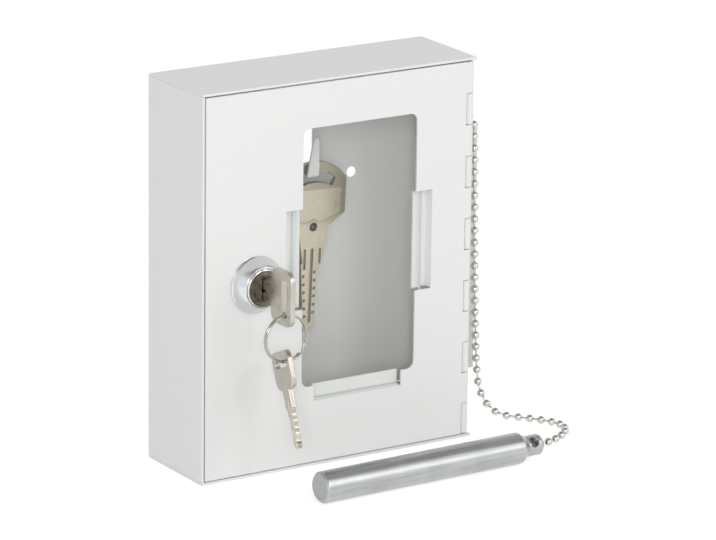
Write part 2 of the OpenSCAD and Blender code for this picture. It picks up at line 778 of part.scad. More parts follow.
module emergency_key() color(nickel) on_hook() {
    face = 0.3;
    dimples = 6;
    difference() {
        translate([0, ekey_thick, 0]) to_front(ekey_thick) difference() {
            ekey_outline();
            ekey_slot();
        }
        for (y = [0, ekey_thick]) translate([0, y, 0]) {
            translate([0, face, 0]) to_front(2 * face) difference() {
                ekey_bow(2);
                translate([-ekey_bow_w, ekey_slot_z - 6.5]) square([2 * ekey_bow_w, ekey_bow_h]);
                translate([0, ekey_neck_z]) circle(r = ekey_pin_r + 1.3);
            }
            groove_z = ekey_neck_z - groove_drop;
            ekey_groove(-0.2, groove_z, ekey_tip_z + groove_drop / 2, 1.2);
            ekey_groove(-3.4, groove_z, ekey_blade_z - 1, 1.1);
            ekey_groove(3.3, groove_z, ekey_blade_z + 1, 1);
            for (i = [0 : dimples - 1], s = [-1, 1])
                translate([ekey_blade_off + 0.12 * i + s * (2.5 - 0.12 * i), -0.5,
                    ekey_blade_z - 2.8 - 3.2 * i - (s < 0 ? 1.4 : 0)])
                    along_y() cylinder(h = 1, r = 0.6);
        }
        translate([0, -cut, ekey_neck_z]) along_y()
            cylinder(h = ekey_thick + 2 * cut, r = ekey_pin_r + 0.02);
    }
}

module emergency_key_pin() color(dark) on_hook() translate([0, -0.2, ekey_neck_z]) along_y()
    difference() {
        cylinder(h = ekey_thick + 0.2, r = ekey_pin_r);
        translate([0, 0, -cut]) cylinder(h = 0.9, r = 0.7);
    }

// Place what is drawn along X at the lying rod, which turns about the last ball of the chain
module on_rod() {
    translate([chain_end.x, chain_end.y, hammer_r]) rotate([0, 0, hammer_turn])
        translate([-chain_end.x, 0, 0]) children();
}

// Round body with a narrower neck
module hammer_rod() color(steel) on_rod() difference() {
    tip = hammer_cone + neck_len;
    translate([body_end, 0, 0]) rotate([0, 90, 0]) rotate_extrude() polygon([[0, -hammer_len],
        [hammer_r - hammer_chamfer, -hammer_len], [hammer_r, -hammer_len + hammer_chamfer],
        [hammer_r, 0], [neck_r, hammer_cone], [neck_r, tip - neck_chamfer],
        [neck_r - neck_chamfer, tip], [0, tip]]);
    translate([cage_x, 0, 0]) rotate([cross_lean, 0, 0])
        cylinder(h = 4 * neck_r, r = cage_r, center = true);
    translate([cage_x, 0, 0]) rotate([0, 90, 0]) cylinder(h = neck_len, r = throat_r);
}

// Last ball of the chain, held in the neck, with its wire to the next ball
module hammer_chain_end() color(chrome) on_rod() {
    translate([cage_x, 0, 0]) turn_to([1, 0, 0]) sphere(r = ball_r);
    rod_between([cage_x + ball_r - 0.5, 0, 0], [chain_end.x - ball_r - 0.1, 0, 0], link_r);
}

// Spring channel for the rod on the right wall: beads that grip the rod and flared lips
module hammer_holder() color(powder) difference() {
    lip_x = holder_seat + holder_reach;
    side = [[lip_x, -holder_half - 0.2], [lip_x - 1.5, -holder_half + holder_bead],
        [lip_x - 3.4, -holder_half], [holder_seat, -holder_half]];
    translate([0, 0, holder_bottom]) linear_extrude(height = holder_len)
        bent_strip(concat(side, [for (i = [len(side) - 1 : -1 : 0]) [side[i].x, -side[i].y]]),
            holder_thick);
    for (z = rivet_heights()) translate([half_w - cut, 0, z])
        rotate([0, 90, 0]) cylinder(h = holder_thick + 2 * cut, r = rivet_r + rivet_clear);
}

function rivet_heights() = [holder_bottom + holder_inset, holder_bottom + holder_len - holder_inset];

// Rivets with their heads inside the case, flush in the holder
module holder_rivets() color(steel) for (z = rivet_heights()) translate([half_w, 0, z])
    rotate([0, 90, 0]) {
        translate([0, 0, -sheet - cut]) cylinder(h = sheet + holder_thick + cut - 0.3, r = rivet_r);
        translate([0, 0, -sheet - 1]) cylinder(h = 1, r1 = rivet_r, r2 = rivet_r * 2);
    }

// Riveted stud that the chain starts from
module chain_anchor() color(steel) translate([half_w, anchor_y, anchor_height]) rotate([0, 90, 0])
    rotate_extrude() polygon([[0, -anchor_grip - 0.9], [2.2, -anchor_grip - 0.9],
        [2.8, -anchor_grip - 0.2], [2.8, -anchor_grip], [anchor_r, -anchor_grip], [anchor_r, 0],
        [2.4, 0], [2.4, 0.7], [1.4, 1], [1.4, anchor_len], [0, anchor_len]]);

module ball_chain() color(chrome) {
    curve = smooth(chain_route);
    run = distances(curve);
    total = run[len(run) - 1];
    count = floor(total / ball_pitch);
    // Balls count back from the hammer end
    balls = [for (i = [0 : count]) at_distance(curve, run, max(total - i * ball_pitch, 0.001))];
    for (i = [0 : count]) translate(balls[i])
        turn_to(balls[min(i + 1, count)] - balls[max(i - 1, 0)]) sphere(r = ball_r);
    for (i = [0 : count - 1]) ball_link(balls[i], balls[i + 1]);
    first = balls[count];
    rod_between(chain_route[0], first - unit(first - chain_route[0]) * (ball_r - 0.5), link_r);
}

case_shell();
left_wall();
right_wall();
lock_keeper();
hinge_strip();
hinge_pin();
hammer_holder();
holder_rivets();
chain_anchor();
ball_chain();
door_panel();
glass_pane();
lock_rosette();
lock_housing();
lock_nut();
lock_plug();
lock_cam();
cam_washer();
cam_screw();
lock_key();
key_ring();
spare_key();
emergency_key();
emergency_key_pin();
hammer_rod();
hammer_chain_end();
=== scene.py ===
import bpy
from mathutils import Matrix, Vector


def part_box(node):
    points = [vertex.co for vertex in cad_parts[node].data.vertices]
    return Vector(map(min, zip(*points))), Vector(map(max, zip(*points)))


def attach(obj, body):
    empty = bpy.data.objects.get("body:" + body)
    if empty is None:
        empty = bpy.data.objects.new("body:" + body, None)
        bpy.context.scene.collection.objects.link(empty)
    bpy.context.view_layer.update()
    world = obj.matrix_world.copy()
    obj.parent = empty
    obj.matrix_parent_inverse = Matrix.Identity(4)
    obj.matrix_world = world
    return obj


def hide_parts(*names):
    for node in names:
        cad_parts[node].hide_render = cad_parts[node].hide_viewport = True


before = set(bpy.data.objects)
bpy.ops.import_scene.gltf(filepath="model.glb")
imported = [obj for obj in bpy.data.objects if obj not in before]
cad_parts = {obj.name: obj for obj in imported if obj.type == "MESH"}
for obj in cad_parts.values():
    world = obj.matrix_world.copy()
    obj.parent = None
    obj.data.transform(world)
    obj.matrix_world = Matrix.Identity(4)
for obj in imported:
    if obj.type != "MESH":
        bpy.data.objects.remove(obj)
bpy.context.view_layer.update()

import math

import bmesh
import bpy
import numpy as np
from bpy.props import FloatProperty, FloatVectorProperty, IntProperty, PointerProperty
from mathutils import Matrix, Vector

bl_info = {
    "name": "Break glass key box",
    "version": (1, 0, 0),
    "blender": (4, 5, 0),
    "location": "View3D > Sidebar > Key Box",
    "description": "Finishes, edges, chain, ring and studio for a sheet steel key box",
    "category": "Object",
}

MM = 0.001

# ---------------------------------------------------------------- fixed values

# Points that the ball chain follows, from its stud on the hinge side to the hammer, in millimetres
CHAIN_ROUTE = [
    (62, -9.5, 124), (64.5, -9.5, 124), (65.8, -9.5, 121.4), (66.2, -9.5, 112), (66.8, -9.5, 90),
    (67.6, -9.5, 60), (68.6, -9.5, 34), (69.2, -9.5, 25), (69.4, -9.8, 20.4), (69.7, -10.7, 15.9),
    (70.4, -12.6, 11.8), (71.5, -15.6, 8.6), (73.6, -19, 6.5), (76.6, -22.3, 5.8),
    (79.7, -25.8, 5.8), (82.4, -29.4, 5.8), (84.9, -33.3, 5.9), (86.7, -37.6, 6),
    (87, -42.2, 6.2), (85.7, -46.6, 6.3), (82.8, -50.4, 6.3), (79, -53, 6.1),
    (75.3, -54.8, 6), (71.4, -56.2, 6),
]
ROUTE_STEPS = 5                         # steps of the curve from one of these points to the next
BALL_STEPS, LINK_STEPS = 18, 10         # faces around a ball and around a wire

# Camera that the corners of the case and of the window in the photograph give
CAMERA_TURN = (-32.4545, 16.2514, 0.7272)   # azimuth, elevation and roll in degrees
CAMERA_AIM = (0, 0, 0.075)                  # point that it is turned about, in metres
CAMERA_DISTANCE = 1.789165                  # from that point, in metres
CAMERA_ASIDE = (0.017173, -0.004689)        # moved to its right and up, in metres
FOCAL_PIXELS, PHOTO_WIDTH = 4738.548, 716   # focal length and picture width in pixels
SENSOR = 36                                 # sensor width in millimetres

# Power setting, name, width and height, and place of each lamp, in metres
LAMPS = (
    ("lamp", "soft box", (0.36, 1.5), (1.15, -1.62, 1.2)),
    ("front", "front", (0.5, 0.5), (0.27, -1.93, 1.29)),
    ("fill", "fill", (0.6, 0.6), (-1.26, -1.94, 0.73)),
)
LAMP_AIM = (0, 0, 0.07)
FLOOR_CORNERS = [(-6, -6, 0), (6, -6, 0), (6, 9, 0), (-6, 9, 0)]
FLOOR_GLOW = 0.46           # light that lifts the seen floor to white
OVERHEAD = (0.5, 1)         # upward parts of a direction between which the surround dims
DEEPER_SEEN = 2.2           # power of that dimming where the surround is seen

# Rounding of the edges of the pieces that have a width of their own
PANE_EDGE = 0.25 * MM
BARREL_EDGE = 0.25 * MM
NUT_EDGE = 0.3 * MM
PLUG_EDGE = 0.12 * MM
FIXING_EDGE = 0.1 * MM
LOCK_KEY_EDGE = 0.28 * MM
EMERGENCY_KEY_EDGE = 0.1 * MM
ROD_EDGE = 0.15 * MM

EDGE_ANGLE = 28             # an edge sharper than this many degrees is rounded
FLAT_ANGLE = 0.6            # faces that meet at less than this many degrees become one
SAME_POINT = 0.002 * MM     # corners closer than this are one

# Depths and distances at which a finish changes
BARREL_RIM = (6.9 * MM, 7.1 * MM)       # from the lock's axis: worn face to polished rim
GROOVE_DEPTH = (0.36 * MM, 0.5 * MM)    # below the emergency key's faces: bright to olive
FIELD_DEPTH = (0.1 * MM, 0.25 * MM)     # the same: raised rim to sunk field
RIM_RISE = 4 * MM                       # above the pin: height in which the rim darkens
GROUND_BAND = 0.3 * MM                  # width of the ground edge of the pane

# The split ring: degrees at which its wire starts and ends, degree and length of its step from
# the first turn to the second, and how far round its start is turned back
RING_WIRE = (14, 706)
RING_POINTS = 240
RING_STEP, RING_STEP_LENGTH = 348, 24
RING_TURNED = 35


# ---------------------------------------------------------------- sizes and colours

class KeyBoxSizes(bpy.types.PropertyGroup):
    """Sizes of the pieces that are worked out here"""
    fold: FloatProperty(
        name="Case edge", description="Rounding of the edges of the case and its walls",
        default=0.3 * MM, min=0.02 * MM, max=0.4 * MM, unit="LENGTH", precision=5)
    edge: FloatProperty(
        name="Coated edge", description="Rounding of the edges of the door and the fittings",
        default=0.16 * MM, min=0.02 * MM, max=0.4 * MM, unit="LENGTH", precision=5)
    metal_edge: FloatProperty(
        name="Metal edge", description="Rounding of the edges of the cam",
        default=0.18 * MM, min=0.02 * MM, max=0.4 * MM, unit="LENGTH", precision=5)
    ball: FloatProperty(
        name="Ball", description="Diameter of the chain balls",
        default=3.2 * MM, min=2 * MM, max=3.6 * MM, unit="LENGTH", precision=5)
    pitch: FloatProperty(
        name="Ball pitch", description="Distance between two chain balls",
        default=4.68 * MM, min=4 * MM, max=5 * MM, unit="LENGTH", precision=5)
    link: FloatProperty(
        name="Link", description="Radius of the wire between two balls",
        default=0.45 * MM, min=0.3 * MM, max=0.6 * MM, unit="LENGTH", precision=5)
    wire: FloatProperty(
        name="Ring wire", description="Thickness of the flattened ring wire",
        default=0.86 * MM, min=0.6 * MM, max=1 * MM, unit="LENGTH", precision=5)
    around: IntProperty(
        name="Steps around", description="Faces around the rosette",
        default=96, min=24, max=192)


class KeyBoxFinish(bpy.types.PropertyGroup):
    """Colours of the finishes"""
    powder: FloatVectorProperty(
        name="Powder coat", description="Colour of the coated sheet", subtype="COLOR",
        default=(0.83, 0.83, 0.822), min=0, max=1)
    chrome: FloatVectorProperty(
        name="Chrome", description="Colour of the rosette and the lock's rim", subtype="COLOR",
        default=(0.72, 0.73, 0.74), min=0, max=1)
    chain: FloatVectorProperty(
        name="Chain", description="Colour of the ball chain", subtype="COLOR",
        default=(0.64, 0.63, 0.59), min=0, max=1)
    ring: FloatVectorProperty(
        name="Key ring", description="Colour of the split ring", subtype="COLOR",
        default=(0.44, 0.435, 0.405), min=0, max=1)
    nickel: FloatVectorProperty(
        name="Nickel", description="Colour of the lock keys", subtype="COLOR",
        default=(0.60, 0.565, 0.495), min=0, max=1)
    # the nickel silver is also the colour of the painted highlight in the dark pin's hollow
    silver: FloatVectorProperty(
        name="Nickel silver", description="Colour of the emergency key", subtype="COLOR",
        default=(0.60, 0.545, 0.42), min=0, max=1)
    worn: FloatVectorProperty(
        name="Worn nickel", description="Colour of the lock face", subtype="COLOR",
        default=(0.20, 0.18, 0.145), min=0, max=1)
    rim: FloatVectorProperty(
        name="Bow rim", description="Colour of the rim of the emergency key's bow",
        subtype="COLOR", default=(0.33, 0.31, 0.215), min=0, max=1)
    # the olive is also the painted shade on the emergency key's walls and sideways edges
    olive: FloatVectorProperty(
        name="Grooves", description="Colour down in the grooves of the emergency key",
        subtype="COLOR", default=(0.22, 0.19, 0.115), min=0, max=1)
    steel: FloatVectorProperty(
        name="Steel", description="Colour of the turned rod", subtype="COLOR",
        default=(0.515, 0.525, 0.525), min=0, max=1)
    zinc: FloatVectorProperty(
        name="Zinc", description="Colour of the plated fixings", subtype="COLOR",
        default=(0.58, 0.60, 0.62), min=0, max=1)
    black: FloatVectorProperty(
        name="Blackened steel", description="Colour of the dark pin", subtype="COLOR",
        default=(0.016, 0.013, 0.011), min=0, max=1)
    glass: FloatVectorProperty(
        name="Glass", description="Tint of the pane", subtype="COLOR",
        default=(0.974, 0.98, 0.97), min=0, max=1)
    ground: FloatVectorProperty(
        name="Glass edge", description="Colour of the ground edges of the pane",
        subtype="COLOR", default=(0.80, 0.85, 0.84), min=0, max=1)


class KeyBoxStudio(bpy.types.PropertyGroup):
    """Light and floor"""
    world: FloatProperty(
        name="Surround", description="Strength of the surround as light",
        default=0.76, min=0, max=2)
    sky: FloatProperty(
        name="Overhead", description="Share of the surround that is left overhead",
        default=0.55, min=0, max=1)
    lamp: FloatProperty(
        name="Lamp", description="Power of the tall soft box at the right front",
        default=4.3, min=0, max=100, unit="POWER")
    front: FloatProperty(
        name="Front", description="Power of the lamp in front",
        default=4.4, min=0, max=100, unit="POWER")
    fill: FloatProperty(
        name="Fill", description="Power of the fill lamp at the left front",
        default=12.8, min=0, max=100, unit="POWER")
    floor: FloatVectorProperty(
        name="Floor", description="Colour of the floor", subtype="COLOR",
        default=(0.86, 0.86, 0.86), min=0, max=1)


# ---------------------------------------------------------------- material nodes

class Shade:
    """A node material with one Principled shader, and short calls for the nodes that pattern it."""

    def __init__(self, name, colour, metallic, roughness, ior=1.5, specular=0.5):
        self.material = bpy.data.materials.new(name)
        self.material.use_nodes = True
        self.material.diffuse_color = (*colour, 1)
        self.tree = self.material.node_tree
        self.tree.nodes.clear()
        self.shader = self.add("ShaderNodeBsdfPrincipled", {
            "Base Color": (*colour, 1), "Metallic": metallic, "Roughness": roughness,
            "IOR": ior, "Specular IOR Level": specular})
        self.out = self.add("ShaderNodeOutputMaterial", {"Surface": self.shader.outputs[0]})
        about = self.add("ShaderNodeTexCoord")
        self.place, self.normal = about.outputs["Object"], about.outputs["Normal"]

    def add(self, kind, inputs=None, **settings):
        """A node with its settings; each input is a value or the socket that feeds it."""
        node = self.tree.nodes.new(kind)
        for key, value in settings.items():
            setattr(node, key, value)
        for key, value in (inputs or {}).items():
            if isinstance(value, bpy.types.NodeSocket):
                self.tree.links.new(value, node.inputs[key])
            else:
                node.inputs[key].default_value = value
        return node

    def spread(self, turn=(0, 0, 0), scale=(1, 1, 1)):
        """Object coordinates turned and stretched."""
        return self.add("ShaderNodeMapping", {
            "Vector": self.place, "Rotation": turn, "Scale": scale}).outputs[0]

    def noise(self, vector, scale, detail=2.0, rough=0.5):
        """Noise with that many cells to a metre, in a number of finer layers."""
        return self.add("ShaderNodeTexNoise", {
            "Vector": vector, "Scale": scale, "Detail": detail, "Roughness": rough}).outputs["Fac"]

    def rings(self, radius, scale):
        """Noise that changes only with the distance from an axis."""
        return self.noise(self.add("ShaderNodeCombineXYZ", {"X": radius}).outputs[0], scale)

    def ranged(self, value, low, high, between=(0.3, 0.7)):
        """low up to the first of between, high from the second on, and even steps from one to the
        other."""
        return self.add("ShaderNodeMapRange", {
            "Value": value, "From Min": between[0], "From Max": between[1],
            "To Min": low, "To Max": high}).outputs[0]

    def maths(self, kind, a, b=0.0):
        """One step of sums with two values."""
        return self.add("ShaderNodeMath", {0: a, 1: b}, operation=kind).outputs[0]

    def plus(self, value, other, share):
        """A value and a share of another."""
        return self.maths("ADD", value, self.maths("MULTIPLY", other, share))

    def weigh(self, value, other, share):
        """Two values in the parts share and 1 - share."""
        return self.plus(self.maths("MULTIPLY", value, share), other, 1 - share)

    def tint(self, share, first, second):
        """Colour that goes from the first, a colour or a socket, to the second as share does
        from 0 to 1."""
        mix = self.add("ShaderNodeMix", {"Factor": share}, data_type="RGBA")
        start, end = (i for i in mix.inputs if i.type == "RGBA")
        if isinstance(first, bpy.types.NodeSocket):
            self.tree.links.new(first, start)
        else:
            start.default_value = (*first, 1)
        end.default_value = (*second, 1)
        return next(o for o in mix.outputs if o.type == "RGBA")

    def blend_value(self, share, socket, other):
        """Value that goes from a socket's to another as share goes from 0 to 1."""
        kept = self.maths("MULTIPLY", socket, self.maths("SUBTRACT", 1.0, share))
        return self.maths("ADD", kept, self.maths("MULTIPLY", share, other))

    def parts(self, vector):
        """The X, Y and Z of a vector."""
        return self.add("ShaderNodeSeparateXYZ", {0: vector}).outputs

    def facing(self, axis):
        """1 where a face looks along an axis, 0 where it is square to it."""
        return self.maths("ABSOLUTE", self.parts(self.normal)[axis])

    def ring_radius(self, centre):
        """Distance from an axis along Y through a point."""
        off = self.add("ShaderNodeVectorMath", {0: self.place, 1: centre}, operation="SUBTRACT")
        flat = self.add("ShaderNodeVectorMath", {0: off.outputs[0], 1: (1, 0, 1)},
                        operation="MULTIPLY")
        away = self.add("ShaderNodeVectorMath", {0: flat.outputs[0]}, operation="LENGTH")
        return away.outputs["Value"]

    def colour(self, socket):
        """Feeds the base colour."""
        self.tree.links.new(socket, self.shader.inputs["Base Color"])

    def rough(self, socket):
        """Feeds the roughness."""
        self.tree.links.new(socket, self.shader.inputs["Roughness"])

    def bump(self, height, distance, strength=1.0):
        """Lets a height between 0 and 1 tilt the surface as if it were that distance high."""
        node = self.add("ShaderNodeBump", {
            "Height": height, "Distance": distance, "Strength": strength})
        self.tree.links.new(node.outputs[0], self.shader.inputs["Normal"])


def shaded(colour, share):
    """A colour times a share."""
    return tuple(c * share for c in colour)


def powder_coat(finish):
    """Satin powder coat: orange peel a millimetre across, faint clouds in colour and gloss."""
    s = Shade("powder coat", finish.powder, 0, 0.42, specular=0.45)
    clouds = s.noise(s.place, scale=14, detail=3)
    peel = s.noise(s.place, scale=900, rough=0.45)
    grain = s.noise(s.place, scale=3200, detail=1)
    s.colour(s.tint(s.ranged(clouds, 0, 1), shaded(finish.powder, 0.985), finish.powder))
    s.rough(s.ranged(s.plus(clouds, grain, 0.6), 0.38, 0.48, between=(0.5, 1.1)))
    s.bump(s.plus(peel, grain, 0.25), 0.003 * MM)
    return s.material


def chrome(name, colour, centre=None):
    """Polished chrome with soft smears and fine marks of polish, in rings where it has an axis."""
    s = Shade(name, colour, 1, 0.12)
    if centre is None:
        marks = s.noise(s.place, scale=700)
    else:
        marks = s.rings(s.ring_radius(centre), scale=5200)
    smear = s.noise(s.place, scale=120, detail=3)
    s.colour(s.tint(s.ranged(smear, 0, 1), shaded(colour, 0.93), colour))
    s.rough(s.ranged(s.weigh(marks, smear, 0.5), 0.09, 0.2))
    s.bump(marks, 0.0016 * MM)
    return s.material


def nickel(finish, name, along):
    """Nickel worn by handling: fine marks along the key, dull patches and small scratches."""
    s = Shade(name, finish.nickel, 1, 0.3)
    stretch = tuple(0.06 if a else 1 for a in along)
    marks = s.noise(s.spread(scale=stretch), scale=5200)
    scratch = s.noise(s.spread(turn=(0.5, 0.9, 0.3), scale=(1, 0.03, 1)), scale=2600, rough=0.6)
    patch = s.noise(s.place, scale=230, detail=4, rough=0.6)
    s.colour(s.tint(s.ranged(patch, 0, 1, between=(0.35, 0.65)),
                    shaded(finish.nickel, 0.84), finish.nickel))
    s.rough(s.ranged(s.weigh(marks, patch, 0.4), 0.22, 0.42))
    s.bump(s.plus(marks, scratch, 0.8), 0.006 * MM)
    return s.material


def lock_face(finish, centre):
    """Lock head and plug: dull worn nickel in rings round the axis, with a bright polished rim."""
    s = Shade("lock face nickel", finish.worn, 1, 0.32)
    radius = s.ring_radius(centre)
    rings = s.rings(radius, scale=1500)
    patch = s.noise(s.place, scale=520, detail=4, rough=0.65)
    rim = s.ranged(radius, 0, 1, between=BARREL_RIM)
    wear = s.ranged(s.weigh(rings, patch, 0.4), 0, 1, between=(0.38, 0.66))
    face = s.tint(wear, shaded(finish.worn, 0.45), shaded(finish.worn, 1.25))
    s.colour(s.tint(rim, face, finish.chrome))
    s.rough(s.blend_value(rim, s.ranged(wear, 0.24, 0.42, between=(0, 1)), 0.14))
    s.bump(rings, 0.004 * MM)
    return s.material


def nickel_silver(finish, front, back, bow):
    """Nickel silver of a flat key between two depths along Y: bright faces, dull olive grooves,
    painted shade in olive on the walls and edges that face sideways, and a darker rim round the
    sunk field of its bow, which is above a height."""
    s = Shade("nickel silver", finish.silver, 1, 0.3)
    marks = s.noise(s.spread(scale=(1, 1, 0.06)), scale=5200)
    patch = s.noise(s.place, scale=260, detail=4, rough=0.6)
    at = s.parts(s.place)
    sunk = s.maths("MINIMUM", s.maths("SUBTRACT", at["Y"], front),
                   s.maths("SUBTRACT", back, at["Y"]))
    rim = s.maths("MULTIPLY", s.ranged(at["Z"], 0, 1, between=(bow, bow + RIM_RISE)),
                  s.ranged(sunk, 1, 0, between=FIELD_DEPTH))
    deep = s.ranged(s.plus(sunk, patch, 0.12 * MM), 0, 1, between=GROOVE_DEPTH)
    # olive deep in the grooves, and painted shade in olive on the walls and edges that face
    # sideways
    groove_olive_and_painted_wall_shade = s.maths("MAXIMUM", deep, s.ranged(s.facing("Y"), 0.75, 0, between=(0.35, 0.9)))
    face = s.tint(s.ranged(patch, 0, 1, between=(0.35, 0.65)),
                  shaded(finish.silver, 0.86), finish.silver)
    rimmed = s.tint(s.maths("MULTIPLY", rim, s.ranged(marks, 0.75, 1)), face, finish.rim)
    s.colour(s.tint(groove_olive_and_painted_wall_shade, rimmed, finish.olive))
    s.rough(s.ranged(s.weigh(marks, patch, 0.4), 0.24, 0.42))
    s.bump(marks, 0.005 * MM)
    return s.material


def turned_steel(finish):
    """Turned and polished rod along X: tool rings across it, soft lengthwise smears, dull ends."""
    s = Shade("turned steel", finish.steel, 1, 0.25)
    rings = s.noise(s.spread(scale=(1, 0.01, 0.01)), scale=3600, detail=3, rough=0.6)
    bands = s.noise(s.spread(scale=(1, 0.05, 0.05)), scale=130)
    smear = s.noise(s.spread(scale=(0.03, 1, 1)), scale=900, detail=3)
    side = s.tint(s.ranged(s.weigh(smear, bands, 0.75), 0, 1, between=(0.38, 0.62)),
                  shaded(finish.steel, 0.8), finish.steel)
    end = s.ranged(s.facing("X"), 0, 1, between=(0.85, 0.97))
    s.colour(s.tint(end, side, shaded(finish.steel, 0.7)))
    s.rough(s.ranged(s.weigh(smear, rings, 0.6), 0.26, 0.34))
    s.bump(rings, 0.0006 * MM)
    return s.material


def zinc_plate(finish):
    """Zinc plate: small cloudy patches over fine grain."""
    s = Shade("zinc plate", finish.zinc, 1, 0.35)
    patch = s.noise(s.place, scale=420, detail=4, rough=0.6)
    grain = s.noise(s.place, scale=4200)
    s.colour(s.tint(s.ranged(patch, 0, 1), shaded(finish.zinc, 0.86), finish.zinc))
    s.rough(s.ranged(patch, 0.27, 0.44))
    s.bump(grain, 0.004 * MM)
    return s.material


def blackened(finish, centre, radius):
    """Blackened steel of a rolled pin along Y: dark oxide with worn specks, and a painted highlight
    that lightens the hollow towards its middle.
    """
    s = Shade("blackened steel", finish.black, 0, 0.45, specular=0.15)
    specks = s.noise(s.place, scale=2200, detail=3, rough=0.6)
    dark = s.tint(s.ranged(specks, 0, 1, between=(0.55, 0.8)),
                  finish.black, shaded(finish.silver, 0.15))
    # painted highlight: the hollow lightens towards its middle, broken up by the specks
    hollow = s.ranged(s.ring_radius(centre), 0.6, 0, between=(0.15 * radius, 0.5 * radius))
    painted_highlight = s.maths("MULTIPLY", hollow, s.ranged(specks, 0.4, 1))
    s.colour(s.tint(painted_highlight, dark, finish.silver))
    s.rough(s.ranged(specks, 0.32, 0.5))
    s.bump(specks, 0.006 * MM)
    return s.material


def float_glass(finish, low, high):
    """Clear float glass between two corners: faintly wavy, lets light through to what is behind
    it, with pale ground edges."""
    s = Shade("float glass", finish.glass, 0, 0.0, ior=1.45, specular=0.16)
    s.shader.inputs["Transmission Weight"].default_value = 1
    s.bump(s.noise(s.place, scale=16, detail=1), 0.01 * MM, strength=0.5)
    clear = s.add("ShaderNodeBsdfTransparent", {"Color": (*finish.glass, 1)})
    path = s.add("ShaderNodeLightPath")
    rays = s.maths("MAXIMUM", path.outputs["Is Shadow Ray"], path.outputs["Is Diffuse Ray"])
    pane = s.add("ShaderNodeMixShader", {0: rays, 1: s.shader.outputs[0], 2: clear.outputs[0]})
    grain = s.noise(s.place, scale=2600)
    ground = s.add("ShaderNodeBsdfPrincipled", {
        "Base Color": s.tint(s.ranged(grain, 0, 1), shaded(finish.ground, 0.9), finish.ground),
        "Roughness": s.ranged(grain, 0.5, 0.7)})
    middle_x, _, middle_z = (low + high) / 2
    half_x, _, half_z = (high - low) / 2
    at = s.parts(s.place)
    off_x = s.maths("ABSOLUTE", s.maths("SUBTRACT", at["X"], middle_x))
    off_z = s.maths("ABSOLUTE", s.maths("SUBTRACT", at["Z"], middle_z))
    rim = s.maths("MAXIMUM", s.maths("GREATER_THAN", off_x, half_x - GROUND_BAND),
                  s.maths("GREATER_THAN", off_z, half_z - GROUND_BAND))
    mix = s.add("ShaderNodeMixShader", {0: rim, 1: pane.outputs[0], 2: ground.outputs[0]})
    s.tree.links.new(mix.outputs[0], s.out.inputs["Surface"])
    return s.material


MADE = {}       # names of the materials that are made, by their keys


def material(key, make):
    """The material of that key, made once."""
    if key not in MADE:
        MADE[key] = make().name
    return bpy.data.materials[MADE[key]]


# ---------------------------------------------------------------- surfaces

def piece(name, verts, faces, mat, body, nodes=(), slot=None, smooth=40):
    """A closed mesh from arrays of corners and faces: doubles merged, normals outwards, smooth
    below an angle."""
    mesh = bpy.data.meshes.new(name)
    mesh.from_pydata(np.asarray(verts).tolist(), [], np.asarray(faces).tolist())
    return finish_mesh(name, mesh, mat, body, nodes, smooth, recalc=True)


def finish_mesh(name, mesh, mat, body, nodes, smooth, recalc=False, flatten=False):
    """Puts a mesh in the scene as a piece that rides on a body and stands for CAD nodes."""
    work = bmesh.new()
    work.from_mesh(mesh)
    bmesh.ops.remove_doubles(work, verts=work.verts, dist=SAME_POINT)
    if flatten:
        bmesh.ops.dissolve_limit(work, angle_limit=math.radians(FLAT_ANGLE),
                                 verts=work.verts, edges=work.edges)
    if recalc:
        bmesh.ops.recalc_face_normals(work, faces=work.faces)
    work.to_mesh(mesh)
    work.free()
    mesh.shade_smooth()
    mesh.set_sharp_from_angle(angle=math.radians(smooth))
    mesh.materials.clear()
    mesh.materials.append(mat)
    obj = bpy.data.objects.new(name, mesh)
    bpy.context.scene.collection.objects.link(obj)
    if nodes:
        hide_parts(*nodes)
    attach(obj, body)
    return obj


def grid_faces(rows, columns):
    """Quads of a grid of rows by columns of corners, joined round its columns."""
    i, j = np.meshgrid(np.arange(rows - 1), np.arange(columns), indexing="ij")
    k = (j + 1) % columns
    quads = [i * columns + j, i * columns + k, (i + 1) * columns + k, (i + 1) * columns + j]
    return np.stack(quads, -1).reshape(-1, 4)


def lathe(profile, centre, steps, axis=(0, 1, 0)):
    """Surface of revolution:
    p(u, v) = centre + height(v) axis + radius(v) (cos u side + sin u over)."""
    profile = np.asarray(profile, float)
    axis = np.asarray(axis, float)
    side = np.cross(axis, (0.36, 0.48, 0.8))
    side /= np.linalg.norm(side)
    over = np.cross(axis, side)
    u = np.arange(steps) * 2 * np.pi / steps
    ring = np.cos(u)[:, None] * side + np.sin(u)[:, None] * over
    verts = (np.asarray(centre) + profile[:, 1, None, None] * axis
             + profile[:, 0, None, None] * ring)
    return verts.reshape(-1, 3), grid_faces(len(profile), steps)


def arc(centre, radius, start, end, steps):
    """Points of a circle in the profile plane: centre + radius (cos a, sin a)."""
    a = np.radians(np.linspace(start, end, steps))
    return np.asarray(centre) + radius * np.stack([np.cos(a), np.sin(a)], -1)


def together(*shapes):
    """Several (corners, faces) as one."""
    verts, faces, base = [], [], 0
    for v, f in shapes:
        verts.append(v)
        faces.append(np.asarray(f) + base)
        base += len(v)
    return np.vstack(verts), np.vstack(faces)


